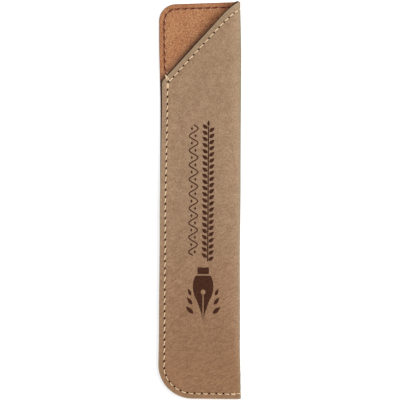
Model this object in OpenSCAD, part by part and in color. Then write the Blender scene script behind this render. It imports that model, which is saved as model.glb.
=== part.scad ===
// Slip-in case for one fountain pen. One leatherette blank with a suede-like lining is folded
// along the right side and sewn up the left side and round the bottom. The mouth is cut on a
// slant, and the back panel stands above it as a flap. The case lies on its back panel:
// +X points at the fold, +Y at the flap and +Z out of the front panel.

/* [Case] */
// Length from the bottom edge to the tip of the flap
case_l = 158.8; // [150:0.2:170]
// Width from the sewn side to the fold
case_w = 32.8; // [32:0.2:38]
// Thickness over the fold
case_t = 8.2; // [7.4:0.1:9]
// Length over which the front panel rises from the bottom seam to its full height
bottom_rise_l = 30; // [20:1:45]

/* [Materials] */
// Thickness of the leatherette cover
cover_t = 0.9; // [0.7:0.05:1]
// Thickness of the lining
lining_t = 0.5; // [0.3:0.05:0.6]

/* [Outline] */
// Radius of the bottom corner on the sewn side
bottom_r = 13.6; // [8:0.2:14]
// Radius of the flap's corner
flap_r = 6.8; // [4:0.2:9]
// How much higher the flap is at the fold than at its corner
flap_rise = 1.1; // [0:0.1:2]
// Height above the middle of the case at which the mouth's slanted edge leaves the sewn side
mouth_low = 47.4; // [40:0.2:52]
// Slant of the mouth's edge from straight across, in degrees
mouth_slant = 46.8; // [42:0.2:48]
// Radius where the mouth's edge turns into the sewn side
mouth_r = 2.5; // [1:0.1:4]
// How far the front panel's sewn edge is set back from the back panel's at the mouth
set_back = 0.8; // [0:0.1:1.2]

/* [Stitching] */
// Distance from one needle hole to the next in the closing seam
closing_pitch = 2.86; // [2.5:0.02:3.4]
// Distance from one needle hole to the next in the mouth and flap seam
edge_pitch = 3; // [2.5:0.02:3.4]
// Distance of the closing seam from the cut edge
closing_inset = 2.2; // [1.8:0.1:2.8]
// Distance of the mouth's seam from the cut edge
mouth_inset = 2.15; // [1.8:0.05:2.8]
// Distance of the flap's seam from the cut edge
flap_inset = 2; // [1.8:0.1:2.8]
// Width of the thread as it lies on the leatherette
thread_w = 0.55; // [0.4:0.05:0.6]
// Thickness of the thread as it lies on the leatherette
thread_t = 0.3; // [0.2:0.05:0.3]

/* [Hidden] */

HALF_L = case_l / 2;
HALF_W = case_w / 2;
PANEL_T = cover_t + lining_t;
// Air left between the two lining faces where they are sewn together
SEAM_GAP = 0.1;
FULL_GAP = case_t - 2 * PANEL_T;
// Share of a rise taken by each of its two soft ends
SOFT = 0.2;
// Thread lies this far off the surface it is drawn down on
CLEAR = 0.05;
// Depth and width of the line that the stitches press into the back face
PRESSED_DEEP = 0.36;
PRESSED_W = thread_w + 0.2;
// The two lining faces start to part this far inside the closing seam
GAP_START = 0.8;
// Width of the back panel's strip that is made with the fold
JOIN_W = 2.4;

// Places
GAP_X = -HALF_W + closing_inset + GAP_START;
GAP_Y = -HALF_L + closing_inset + GAP_START;
FOLD_X = HALF_W - case_t / 2;
JOIN_X = FOLD_X - JOIN_W;
CORNER = [-HALF_W + bottom_r, -HALF_L + bottom_r];
FLAP_TILT = atan(flap_rise / case_w);
// Beyond this point the mouth's edge flattens towards the tip of the fold
BEND_X = HALF_W - 7.4;
BEND = 0.036;
// The same for the mouth's seam, which starts to flatten a little sooner
SEAM_BEND_X = BEND_X - 3;
SEAM_BEND = 0.015;
// Left end of the mouth's edge, and the centre of the round that ends it
LIP_X = -HALF_W + set_back;
LIP_C = [LIP_X + mouth_r, mouth_low - mouth_r * tan((90 - mouth_slant) / 2)];

// Fineness of the bent sheets
FOLD_STEPS = 10;
FLAT_STEPS = 5;
CORNER_STEPS = 9;
ROWS = 18;
ARC_STEPS = 12;

function clamp01(t) = min(1, max(0, t));

// Rises from 0 to 1 along a straight slope with two soft ends
function rise(t, e) =
    let (u = clamp01(t))
    u < e ? u * u / (2 * e * (1 - e))
    : u < 1 - e ? (u - e / 2) / (1 - e)
    : 1 - (1 - u) * (1 - u) / (2 * e * (1 - e));

// Gap between the two lining faces at the fold, and the fold's outer radius and centre
function fold_gap(y) = SEAM_GAP + (FULL_GAP - SEAM_GAP) * rise((y - GAP_Y) / bottom_rise_l, SOFT);
function fold_r(y) = PANEL_T + fold_gap(y) / 2;
function fold_x(y) = HALF_W - fold_r(y);

// Gap between the two lining faces, and the height of the front panel's outer face
function gap(x, y) =
    SEAM_GAP + (fold_gap(y) - SEAM_GAP) * rise((x - GAP_X) / (fold_x(y) - GAP_X), SOFT);
function front_z(x, y) = 2 * PANEL_T + gap(x, y);

// Cut edges: flap top, bottom, the mouth's slanted edge and its rounded left end
function flap_top(x) = HALF_L - flap_rise * (HALF_W - x) / case_w;
function bottom_edge(x) =
    x < CORNER.x ? CORNER.y - sqrt(max(0, pow(bottom_r, 2) - pow(x - CORNER.x, 2))) : -HALF_L;
function slant(x) =
    mouth_low + (x - LIP_X) * tan(mouth_slant) - BEND * pow(max(0, x - BEND_X), 2);
function mouth_edge(x) =
    x < LIP_C.x - mouth_r * sin(mouth_slant)
        ? LIP_C.y + sqrt(max(0, pow(mouth_r, 2) - pow(x - LIP_C.x, 2)))
        : min(HALF_L, slant(x));

// Set-back of the front panel's sewn edge, which fades out halfway down the case
function step_in(y) = set_back * clamp01(y / mouth_low);
function front_x(x, y) =
    x + step_in(y) * (FOLD_X - x) / (FOLD_X + HALF_W)
      + (fold_x(y) - FOLD_X) * pow(clamp01((x + HALF_W) / (FOLD_X + HALF_W)), 3);

// Columns of the bent sheet: ["back", 0 to 1], ["fold", angle], ["front", x]
COLUMNS = concat(
    [["back", 0], ["back", 0.5]],
    [for (i = [0:FOLD_STEPS]) ["fold", -90 + 180 * i / FOLD_STEPS]],
    [for (i = [1:FLAT_STEPS]) ["front", FOLD_X + (CORNER.x - FOLD_X) * i / FLAT_STEPS]],
    [for (i = [1:CORNER_STEPS]) ["front", -HALF_W + bottom_r * (1 - sin(90 * i / CORNER_STEPS))]]
);

// The rows of the bent sheet stand closer together near the bottom
ROW_CROWDING = 1.5;

// A point of the sheet, at a depth under the case's outer face
function sheet_point(col, y, depth) =
    let (r = fold_r(y), cx = fold_x(y))
    col[0] == "back" ? [JOIN_X + (cx - JOIN_X) * col[1], y, depth]
    : col[0] == "fold" ? [cx + (r - depth) * cos(col[1]), y, r + (r - depth) * sin(col[1])]
    : let (x = front_x(col[1], y)) [x, y, front_z(x, y) - depth];

function column_low(col) = col[0] == "front" ? bottom_edge(col[1]) : -HALF_L;
function column_high(col) =
    col[0] == "back" ? flap_top(JOIN_X + (FOLD_X - JOIN_X) * col[1])
    : col[0] == "front" ? mouth_edge(front_x(col[1], mouth_low))
    : let (x = FOLD_X + case_t / 2 * cos(col[1]))
      col[1] < 0 ? flap_top(x) : min(flap_top(x), mouth_edge(x));

// The fold and the front panel of one layer, between two depths
module bent_sheet(outer, inner) {
    n = len(COLUMNS);
    layer = n * (ROWS + 1);
    points = [
        for (depth = [outer, inner])
            for (col = COLUMNS)
                let (low = column_low(col), high = column_high(col))
                    for (j = [0:ROWS])
                        sheet_point(col, low + (high - low) * pow(j / ROWS, ROW_CROWDING), depth)
    ];
    // Two triangles for each four corners that are listed anticlockwise from outside
    function pair(a, b, c, d) = [[a, c, b], [a, d, c]];
    function at(i, j, k) = i * (ROWS + 1) + j + k * layer;
    faces = [
        for (i = [0:n - 2])
            for (j = [0:ROWS - 1])
                each concat(
                    pair(at(i, j, 0), at(i, j + 1, 0), at(i + 1, j + 1, 0), at(i + 1, j, 0)),
                    pair(at(i, j, 1), at(i + 1, j, 1), at(i + 1, j + 1, 1), at(i, j + 1, 1))
                ),
        for (i = [0:n - 2])
            each concat(
                pair(at(i, 0, 0), at(i + 1, 0, 0), at(i + 1, 0, 1), at(i, 0, 1)),
                pair(at(i, ROWS, 0), at(i, ROWS, 1), at(i + 1, ROWS, 1), at(i + 1, ROWS, 0))
            ),
        for (j = [0:ROWS - 1])
            each concat(
                pair(at(0, j, 0), at(0, j, 1), at(0, j + 1, 1), at(0, j + 1, 0)),
                pair(at(n - 1, j, 0), at(n - 1, j + 1, 0), at(n - 1, j + 1, 1), at(n - 1, j, 1))
            )
    ];
    polyhedron(points = points, faces = faces);
}

// A path up the back panel, an inset inside its cut edges, from the bottom to the flap's tip
function arc(c, r, from, to) =
    [for (i = [0:ARC_STEPS]) c + r * [cos(from + (to - from) * i / ARC_STEPS),
                                      sin(from + (to - from) * i / ARC_STEPS)]];
function flap_corner() =
    let (x = -HALF_W + flap_r) [x, flap_top(x) - flap_r / cos(FLAP_TILT)];
function back_path(inset, x_end) = concat(
    [[x_end, -HALF_L + inset]],
    arc(CORNER, bottom_r - inset, 270, 180),
    arc(flap_corner(), flap_r - inset, 180, 90 + FLAP_TILT),
    [[x_end, flap_top(x_end) - inset / cos(FLAP_TILT)]]
);

// The flat back panel of one layer, up to the strip where the bent sheet takes over
module back_sheet(outer, inner) {
    translate([0, 0, outer])
        linear_extrude(height = inner - outer)
            polygon(back_path(0, JOIN_X));
}

// The closing seam from the mouth down the sewn side, round the corner and along the bottom
CLOSING_R = bottom_r - closing_inset;
CLOSING_TOP = mouth_low - 0.4;
SIDE_RUN = CLOSING_TOP - CORNER.y;
CORNER_RUN = CLOSING_R * PI / 2;
// The closing seam ends this far short of the fold's outermost line
CLOSING_END = 1;
CLOSING_RUN = SIDE_RUN + CORNER_RUN + HALF_W - CLOSING_END - CORNER.x;
function closing_at(s) =
    s < SIDE_RUN ? let (y = CLOSING_TOP - s) [-HALF_W + closing_inset + step_in(y), y]
    : s < SIDE_RUN + CORNER_RUN
        ? let (a = 180 + (s - SIDE_RUN) / CLOSING_R * 180 / PI)
          CORNER + CLOSING_R * [cos(a), sin(a)]
    : [CORNER.x + s - SIDE_RUN - CORNER_RUN, -HALF_L + closing_inset];

// The seam along the mouth, from its left end to the fold
MOUTH_ALONG = [cos(mouth_slant), sin(mouth_slant)];
// Distance of its first needle hole from the mouth's left end
FIRST_HOLE = 1.6;
MOUTH_START = [LIP_X, mouth_low] + mouth_inset * [sin(mouth_slant), -cos(mouth_slant)]
    + FIRST_HOLE * MOUTH_ALONG;
MOUTH_STITCHES = 13;
function mouth_at(i) =
    let (p = MOUTH_START + i * edge_pitch * MOUTH_ALONG)
    p - [0, SEAM_BEND * pow(max(0, p.x - SEAM_BEND_X), 2)];

// The seam along the flap, from the mouth up the side, round the corner and across to the fold
FLAP_R = flap_r - flap_inset;
FLAP_LOW = mouth_low + 2.6;
FLAP_SIDE = flap_corner().y - FLAP_LOW;
FLAP_TURN = FLAP_R * (90 - FLAP_TILT) * PI / 180;
// The flap's seam ends this far short of the strip that is made with the fold
FLAP_END = 0.5;
FLAP_RUN = FLAP_SIDE + FLAP_TURN + JOIN_X - FLAP_END - flap_corner().x;
function flap_at(s) =
    s < FLAP_SIDE ? [-HALF_W + flap_inset, FLAP_LOW + s]
    : s < FLAP_SIDE + FLAP_TURN
        ? let (a = 180 - (s - FLAP_SIDE) / FLAP_R * 180 / PI)
          flap_corner() + FLAP_R * [cos(a), sin(a)]
    : let (x = flap_corner().x + s - FLAP_SIDE - FLAP_TURN)
      [x, flap_top(x) - flap_inset / cos(FLAP_TILT)];

// Points on the four faces that thread lies on
function on_front(p) = [p.x, p.y, front_z(p.x, p.y) + CLEAR];
function under_front(p) = [p.x, p.y, front_z(p.x, p.y) - PANEL_T - thread_t - CLEAR];
function on_lining(p) = [p.x, p.y, PANEL_T + CLEAR];
function in_back(p) = [p.x, p.y, CLEAR];

// Share of the distance between two needle holes that a stitch fills, and how long its points are
STITCH_SHARE = 0.84;
STITCH_POINT = 0.6 * thread_w;

// One stitch between two points, pointed where it dives into its needle holes
module stitch(a, b) {
    run = b - a;
    long = norm(run) * STITCH_SHARE;
    point = STITCH_POINT;
    translate((a + b) / 2)
        rotate([0, -asin(run.z / norm(run)), atan2(run.y, run.x)])
            linear_extrude(height = thread_t)
                polygon([
                    [-long / 2, 0], [point - long / 2, -thread_w / 2], [long / 2 - point, -thread_w / 2],
                    [long / 2, 0], [long / 2 - point, thread_w / 2], [point - long / 2, thread_w / 2]
                ]);
}

// The line that the stitches on the back face are pressed into
module pressed_line() {
    end_x = JOIN_X + 1;
    rim = [[-HALF_W + flap_inset, FLAP_LOW], closing_at(0), [-HALF_W + closing_inset, 0]];
    edge = function (off) concat(
        [[end_x, -HALF_L + closing_inset + off]],
        arc(CORNER, CLOSING_R - off, 270, 180),
        [rim[2] + [off, 0], rim[1] + [off, 0], rim[0] + [off, 0]],
        arc(flap_corner(), FLAP_R - off, 180, 90 + FLAP_TILT),
        [[end_x, flap_top(end_x) - (flap_inset + off) / cos(FLAP_TILT)]]
    );
    inner = edge(PRESSED_W / 2);
    translate([0, 0, -1])
        linear_extrude(height = 1 + PRESSED_DEEP)
            polygon(concat(edge(-PRESSED_W / 2), [for (i = [len(inner) - 1:-1:0]) inner[i]]));
}

module outer_cover() {
    color("#a48768") {
        difference() {
            back_sheet(0, cover_t);
            pressed_line();
        }
        bent_sheet(0, cover_t);
    }
}

module lining() {
    color("#b17d56") {
        back_sheet(cover_t, PANEL_T);
        bent_sheet(cover_t, PANEL_T);
    }
}

// Thread that shows on the front face of the closing seam
module closing_needle_thread() {
    color("#ebcdaa")
        for (s = [0:closing_pitch:CLOSING_RUN - 2 * closing_pitch])
            stitch(on_front(closing_at(s)), on_front(closing_at(s + closing_pitch)));
}

// Thread that shows on the back face of the closing seam, from the end of the flap's seam onwards
module closing_bobbin_thread() {
    color("#ebcdaa") {
        stitch(in_back(flap_at(0)), in_back(closing_at(0)));
        for (s = [0:closing_pitch:CLOSING_RUN - 3 * closing_pitch])
            stitch(in_back(closing_at(s)), in_back(closing_at(s + closing_pitch)));
    }
}

// Two strands of thread over the lip where the closing seam starts
module mouth_tack() {
    strand_w = 0.45;
    strand_gap = 0.1;
    reach = 2;
    color("#ebcdaa")
        for (x = [0, strand_w + strand_gap]) {
            edge_x = closing_at(0).x - strand_w + x;
            edge_y = mouth_edge(edge_x + strand_w) + CLEAR;
            top = front_z(edge_x, edge_y) + CLEAR;
            translate([edge_x, edge_y - reach, top]) cube([strand_w, reach + thread_t, thread_t]);
            translate([edge_x, edge_y, PANEL_T + CLEAR])
                cube([strand_w, thread_t, top + thread_t - PANEL_T - CLEAR]);
        }
}

// Doubled thread where the closing seam ends at the fold
module base_tack() {
    apart = 0.7;
    run = 2.6;
    color("#ebcdaa")
        for (side = [-0.5, 0.5]) {
            y = -HALF_L + closing_inset + side * apart;
            end_x = fold_x(y) + 0.2;
            stitch(on_front([end_x - run, y]), on_front([end_x, y]));
        }
}

// Thread that shows on the outer face: along the mouth, and on the back of the flap
module edge_needle_thread() {
    color("#ebcdaa") {
        for (i = [0:MOUTH_STITCHES - 1]) stitch(on_front(mouth_at(i)), on_front(mouth_at(i + 1)));
        for (s = [0:edge_pitch:FLAP_RUN - edge_pitch])
            stitch(in_back(flap_at(s)), in_back(flap_at(s + edge_pitch)));
    }
}

// Thread that shows on the lining: on the flap, and inside the mouth
module edge_bobbin_thread() {
    color("#8a4b33") {
        for (i = [0:MOUTH_STITCHES - 1]) stitch(under_front(mouth_at(i)), under_front(mouth_at(i + 1)));
        for (s = [0:edge_pitch:FLAP_RUN - edge_pitch])
            stitch(on_lining(flap_at(s)), on_lining(flap_at(s + edge_pitch)));
    }
}

outer_cover();
lining();
closing_needle_thread();
closing_bobbin_thread();
mouth_tack();
base_tack();
edge_needle_thread();
edge_bobbin_thread();
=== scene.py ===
import math

import bpy
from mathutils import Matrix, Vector, noise
from mathutils.geometry import delaunay_2d_cdt
from mathutils.kdtree import KDTree


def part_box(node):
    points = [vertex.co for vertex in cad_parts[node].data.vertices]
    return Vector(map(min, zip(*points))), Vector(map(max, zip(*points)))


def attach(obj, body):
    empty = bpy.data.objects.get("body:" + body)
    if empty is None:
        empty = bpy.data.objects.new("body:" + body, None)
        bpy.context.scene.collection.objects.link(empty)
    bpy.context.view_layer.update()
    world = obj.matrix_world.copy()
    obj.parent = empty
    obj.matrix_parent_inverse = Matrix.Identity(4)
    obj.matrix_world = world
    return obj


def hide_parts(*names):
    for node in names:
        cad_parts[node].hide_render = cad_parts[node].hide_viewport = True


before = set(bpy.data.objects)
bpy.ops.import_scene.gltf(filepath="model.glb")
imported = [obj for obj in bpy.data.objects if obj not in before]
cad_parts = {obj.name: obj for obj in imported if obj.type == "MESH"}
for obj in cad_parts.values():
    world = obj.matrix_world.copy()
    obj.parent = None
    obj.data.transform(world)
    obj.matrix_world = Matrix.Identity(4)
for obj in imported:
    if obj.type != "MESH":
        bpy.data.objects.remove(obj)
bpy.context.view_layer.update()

# Slip-in fountain pen case: one leatherette blank with a suede-like lining, folded along the right
# side and sewn up the left side and round the bottom. Lengths here are in millimetres; MM turns them
# into metres where a mesh is made.
MM = 0.001

# ---- sizes of the case

cover_low, cover_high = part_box("outer_cover")
CASE_W, CASE_L, CASE_T = (round(side / MM, 2) for side in cover_high - cover_low)
HALF_W, HALF_L = CASE_W / 2, CASE_L / 2

COVER_T = 0.9
LINING_T = 0.5
PANEL_T = COVER_T + LINING_T
FULL_GAP = CASE_T - 2 * PANEL_T
SEAM_GAP = 0.1          # between the linings where the panels are sewn together
BOTTOM_RISE = 30        # how far above the bottom seam the pocket reaches its full gap
BOTTOM_R = 13.6
FLAP_R = 6.8
FLAP_RISE = 1.1         # how much the flap's top climbs from its corner to the fold
MOUTH_LOW = 47.4        # where the mouth meets the sewn side
MOUTH_SLANT = math.radians(46.8)
MOUTH_R = 2.5
SET_BACK = 0.8          # how far the front's sewn edge stands back at the mouth
CUT_SLOPE = 0.05        # how far the cut leans for each millimetre of depth
MOUTH_CUT_SLOPE = 0.26
SOFT_END = 0.2          # share of a rise that each of its soft ends takes

CLOSING_PITCH = 2.86
EDGE_PITCH = 3
CLOSING_INSET = 2.2
MOUTH_INSET = 2.15
FLAP_INSET = 2
HELD_FLAT = 0.8         # the panels lie together this far inside the closing seam

GAP_X = -HALF_W + CLOSING_INSET + HELD_FLAT
GAP_Y = -HALF_L + CLOSING_INSET + HELD_FLAT
FOLD_X = HALF_W - CASE_T / 2
JOIN_X = FOLD_X - 2.4   # from here to FOLD_X the back panel gives way where the fold closes
CORNER = Vector((-HALF_W + BOTTOM_R, -HALF_L + BOTTOM_R))
FLAP_TILT = math.atan(FLAP_RISE / CASE_W)
LIP_X = -HALF_W + SET_BACK
LIP_C = Vector((LIP_X + MOUTH_R, MOUTH_LOW - MOUTH_R * math.tan(math.pi / 4 - MOUTH_SLANT / 2)))

# The mouth's edge and its seam bend down from the straight slant near the fold: where it starts,
# and how fast it goes
BEND_X, BEND = HALF_W - 7.4, 0.036
SEAM_BEND_X, SEAM_BEND = BEND_X - 3, 0.015

# The flat blank is measured across from the back's sewn edge: back panel, fold, front panel.
FOLD_RUN = math.pi * CASE_T / 2
FOLD_END = FOLD_X + FOLD_RUN


def clamp01(t):
    return min(1.0, max(0.0, t))


def smooth(t):
    """Rises from 0 to 1 with a soft start and end."""
    t = clamp01(t)
    return t * t * (3 - 2 * t)


def rise(t):
    """Rises from 0 to 1 along a straight slope with two soft ends."""
    u = clamp01(t)
    if u < SOFT_END:
        return u * u / (2 * SOFT_END * (1 - SOFT_END))
    if u < 1 - SOFT_END:
        return (u - SOFT_END / 2) / (1 - SOFT_END)
    return 1 - (1 - u) ** 2 / (2 * SOFT_END * (1 - SOFT_END))


def fold_gap(y):
    """The space between the linings next to the fold."""
    return SEAM_GAP + (FULL_GAP - SEAM_GAP) * rise((y - GAP_Y) / BOTTOM_RISE)


def fold_r(y):
    """Outer radius of the fold."""
    return PANEL_T + fold_gap(y) / 2


def fold_x(y):
    """Where the middle of the fold's curve lies."""
    return HALF_W - fold_r(y)


def front_z(x, y):
    """Height of the front panel's outer face."""
    gap = SEAM_GAP + (fold_gap(y) - SEAM_GAP) * rise((x - GAP_X) / (fold_x(y) - GAP_X))
    return 2 * PANEL_T + gap


def flap_top(x):
    """Height of the flap's top edge."""
    return HALF_L - FLAP_RISE * (HALF_W - x) / CASE_W


def slant(x):
    """Height of the mouth's edge."""
    return MOUTH_LOW + (x - LIP_X) * math.tan(MOUTH_SLANT) - BEND * max(0, x - BEND_X) ** 2


def step_in(y):
    """How far the front's sewn edge is set back."""
    return SET_BACK * clamp01(y / MOUTH_LOW)


def front_x(x, y):
    """Where a place across the front panel lies, once its sewn edge is set back and the fold closes."""
    set_back = step_in(y) * (FOLD_X - x) / (FOLD_X + HALF_W)
    closing = (fold_x(y) - FOLD_X) * clamp01((x + HALF_W) / (FOLD_X + HALF_W)) ** 3
    return x + set_back + closing


def front_u(x, y):
    """Distance across the blank of a point seen on the front face."""
    r, cx = fold_r(y), fold_x(y)
    if x > cx:
        return FOLD_X + FOLD_RUN * (math.acos(min(1, (x - cx) / r)) + math.pi / 2) / math.pi
    flat_x = x
    for _ in range(12):
        flat_x += x - front_x(flat_x, y)
    return FOLD_END + FOLD_X - flat_x


def on_blank(points):
    """Points seen on the front face, as points of the flat blank."""
    return [Vector((front_u(p.x, p.y), p.y)) for p in points]


# How far the sewn side, the fold and the bottom stray from straight: (height, drift) pairs
SIDE_DRIFT = [(-HALF_L, -0.4), (-50, 0.0), (-12, 0.3), (36, 0.55), (66, 0.0), (HALF_L, 0.0)]
FOLD_DRIFT = [(-HALF_L, 0.0), (-58, -0.35), (-25, -0.4), (8, -0.1), (58, 0.15), (HALF_L, -0.2)]
BOTTOM_DRIFT = 0.35
BOTTOM_DRIFT_FROM, BOTTOM_DRIFT_RUN = -55, 24


def drift(pairs, y):
    """The drift at a height, eased between its pairs."""
    for (y0, d0), (y1, d1) in zip(pairs, pairs[1:]):
        if y <= y1:
            break
    return d0 + (d1 - d0) * smooth((y - y0) / (y1 - y0))


def settle(x, y, z):
    """The hand-made case strays a little from the drawn outline."""
    share = (x + HALF_W) / CASE_W
    left, right = drift(SIDE_DRIFT, y), drift(FOLD_DRIFT, y)
    down = BOTTOM_DRIFT * share * smooth((BOTTOM_DRIFT_FROM - y) / BOTTOM_DRIFT_RUN)
    return Vector((x + left + (right - left) * share, y - down, z)) * MM


def place(u, v, depth):
    """Where a point of the flat blank comes to lie, at a depth under the outer face, in metres."""
    r, cx = fold_r(v), fold_x(v)
    if u < FOLD_X:
        x = u if u < JOIN_X else JOIN_X + (cx - JOIN_X) * (u - JOIN_X) / (FOLD_X - JOIN_X)
        return settle(x, v, depth)
    if u < FOLD_END:
        a = math.pi * ((u - FOLD_X) / FOLD_RUN - 0.5)
        return settle(cx + (r - depth) * math.cos(a), v, r + (r - depth) * math.sin(a))
    x = front_x(FOLD_X - (u - FOLD_END), v)
    return settle(x, v, front_z(x, v) - depth)


def outward(u, v):
    """Unit normal of the outer face."""
    off = 0.05
    across = place(u + off, v, 0) - place(u - off, v, 0)
    along = place(u, v + off, 0) - place(u, v - off, 0)
    return along.cross(across).normalized()


# ---- lines on the flat blank

def sides(shape):
    """The sides of a closed shape, as pairs of points."""
    return zip(shape, shape[1:] + shape[:1])


def left_of(run):
    """The direction at a right angle to another, on its left."""
    return Vector((-run.y, run.x))


def headed(line, closed=False):
    """Each point of a line with the direction that the line runs in there."""
    before = line[-1:] + line[:-1] if closed else line[:1] + line[:-1]
    after = line[1:] + (line[:1] if closed else line[-1:])
    return [(p, (b - a).normalized()) for a, p, b in zip(before, line, after)]


def arc(centre, r, start, end, step=0.35):
    """Points of an arc in degrees, evenly spaced."""
    count = max(2, round(abs(math.radians(end - start)) * r / step))
    angles = [math.radians(start + (end - start) * i / count) for i in range(count + 1)]
    return [Vector((centre[0] + r * math.cos(a), centre[1] + r * math.sin(a))) for a in angles]


def spaced(line, step):
    """The same line with its points an even step apart, and its two ends kept."""
    runs = [(b - a).length for a, b in zip(line, line[1:])]
    total = sum(runs)
    count = max(1, round(total / step))
    even, i, passed = [line[0].copy()], 0, 0.0
    for k in range(1, count):
        want = total * k / count
        while passed + runs[i] < want:
            passed += runs[i]
            i += 1
        even.append(line[i].lerp(line[i + 1], (want - passed) / runs[i]))
    return even + [line[-1].copy()]


def bezier(a, b, c, d, count=40):
    """Points of a cubic curve from a to d, drawn towards b and c."""
    ts = [i / count for i in range(count + 1)]
    return [a * (1 - t) ** 3 + b * 3 * t * (1 - t) ** 2 + c * 3 * t * t * (1 - t) + d * t ** 3 for t in ts]


def flap_corner():
    """The middle of the flap's rounded corner."""
    x = -HALF_W + FLAP_R
    return Vector((x, flap_top(x) - FLAP_R / math.cos(FLAP_TILT)))


def blank_outline(step=0.4):
    """The cut edge of the blank, anticlockwise from the top of the back's bottom corner."""
    back_corner = arc(CORNER, BOTTOM_R, 180, 270)
    front_corner = [Vector((FOLD_END + FOLD_X - p.x, p.y)) for p in reversed(back_corner)]
    lip_end = on_blank(arc(LIP_C, MOUTH_R, 180, 90 + math.degrees(MOUTH_SLANT)))
    slant_x = LIP_C.x - MOUTH_R * math.sin(MOUTH_SLANT)
    mouth_parts, fold_parts = 400, 60
    xs = [slant_x + (HALF_W - slant_x) * i / mouth_parts for i in range(1, mouth_parts)]
    mouth = on_blank([Vector((x, slant(x))) for x in xs if slant(x) < flap_top(x)])
    tip_u = mouth[-1].x
    us = [tip_u + (FOLD_X - tip_u) * i / fold_parts for i in range(1, fold_parts + 1)]
    over_fold = [Vector((u, flap_top(FOLD_X + CASE_T / 2 * math.sin(math.pi * (u - FOLD_X) / FOLD_RUN))))
                 for u in us]
    corner = arc(flap_corner(), FLAP_R, 90 + math.degrees(FLAP_TILT), 180)
    stretches = [
        back_corner,
        [back_corner[-1], front_corner[0]],
        front_corner,
        [front_corner[-1], lip_end[0]],
        lip_end,
        [lip_end[-1]] + mouth,
        [mouth[-1]] + over_fold,
        [over_fold[-1], corner[0]],
        corner,
        [corner[-1], back_corner[0]],
    ]
    return [p for line in stretches for p in spaced(line, step)[:-1]]


# ---- seams

CLOSING_STITCHES = 51
MOUTH_STITCHES = 13
SEAM_STEP = 0.35        # between the points that a sheet's triangles have along a seam
CLOSING_R = BOTTOM_R - CLOSING_INSET
CLOSING_TOP = MOUTH_LOW - 0.4
SIDE_RUN = CLOSING_TOP - CORNER.y
CORNER_RUN = CLOSING_R * math.pi / 2
MOUTH_ALONG = Vector((math.cos(MOUTH_SLANT), math.sin(MOUTH_SLANT)))
MOUTH_START = Vector((LIP_X, MOUTH_LOW)) + 1.6 * MOUTH_ALONG + MOUTH_INSET * Vector(
    (math.sin(MOUTH_SLANT), -math.cos(MOUTH_SLANT)))
FLAP_START = Vector((-HALF_W + CLOSING_INSET + 0.5, MOUTH_LOW + 2.6))
FLAP_SIDE = Vector((-HALF_W + FLAP_INSET, MOUTH_LOW + 4.8))
FLAP_END_X = JOIN_X - 0.5
TACK_HOLE = Vector((-12.9, 47.65))


def closing_at(s):
    """A place on the closing seam: down the sewn side, round the corner and along the bottom."""
    if s < SIDE_RUN:
        y = CLOSING_TOP - s
        return Vector((-HALF_W + CLOSING_INSET + step_in(y), y))
    if s < SIDE_RUN + CORNER_RUN:
        a = math.pi + (s - SIDE_RUN) / CLOSING_R
        return CORNER + CLOSING_R * Vector((math.cos(a), math.sin(a)))
    return Vector((CORNER.x + s - SIDE_RUN - CORNER_RUN, -HALF_L + CLOSING_INSET))


def flap_seam():
    """The seam on the flap, up its side, round its corner and across towards the fold."""
    turn = arc(flap_corner(), FLAP_R - FLAP_INSET, 180, 90 + math.degrees(FLAP_TILT))
    end = Vector((FLAP_END_X, flap_top(FLAP_END_X) - FLAP_INSET / math.cos(FLAP_TILT)))
    return spaced([FLAP_START, FLAP_SIDE] + turn + [end], EDGE_PITCH)


def mouth_seam():
    """The seam along the mouth, which bends down near the fold."""
    straight = [MOUTH_START + i * EDGE_PITCH * MOUTH_ALONG for i in range(MOUTH_STITCHES + 1)]
    return [p - Vector((0, SEAM_BEND * max(0, p.x - SEAM_BEND_X) ** 2)) for p in straight]


def fold_seam(start, end):
    """The seam round the fold's tip, from the flap's seam to the mouth's."""
    return spaced(bezier(start, start + Vector((6, 0.2)), end + Vector((-1.6, 1.6)), end), EDGE_PITCH)


CLOSING_XY = [closing_at(i * CLOSING_PITCH) for i in range(CLOSING_STITCHES + 1)]
CLOSING_FRONT = on_blank(CLOSING_XY)
MOUTH_SEAM = on_blank(mouth_seam())
FLAP_SEAM = flap_seam()
CLOSING_BACK = FLAP_SEAM[:1] + CLOSING_XY
FOLD_SEAM = fold_seam(FLAP_SEAM[-1], MOUTH_SEAM[-1])
UNDER_FOLD = sum(1 for p in FOLD_SEAM if p.x < FOLD_X + 0.2 * FOLD_RUN)
FOLD_SEAM_BACK, FOLD_SEAM_FRONT = FOLD_SEAM[:UNDER_FOLD + 1], FOLD_SEAM[UNDER_FOLD:]
INSIDE_SEAM = FLAP_SEAM + FOLD_SEAM_BACK[1:2]


# ---- engraved ornament

def leaf(root, angle, long, wide, count=7):
    """A pointed leaf that grows from its root, in the direction of angle."""
    along = Vector((math.cos(angle), math.sin(angle)))
    side = left_of(along)
    ts = [i / count for i in range(count + 1)]
    swell = [wide / 2 * math.sin(math.pi * t ** 0.8) for t in ts]
    one = [root + along * long * t + side * w for t, w in zip(ts, swell)]
    other = [root + along * long * t - side * w for t, w in zip(ts[1:-1], swell[1:-1])]
    return other + list(reversed(one))


def lozenge(centre, long, wide):
    return [centre + Vector(p) for p in ((wide / 2, 0), (0, long / 2), (-wide / 2, 0), (0, -long / 2))]


def disc(centre, r, count=14):
    turn = 2 * math.pi / count
    return [centre + r * Vector((math.cos(i * turn), math.sin(i * turn))) for i in range(count)]


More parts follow.
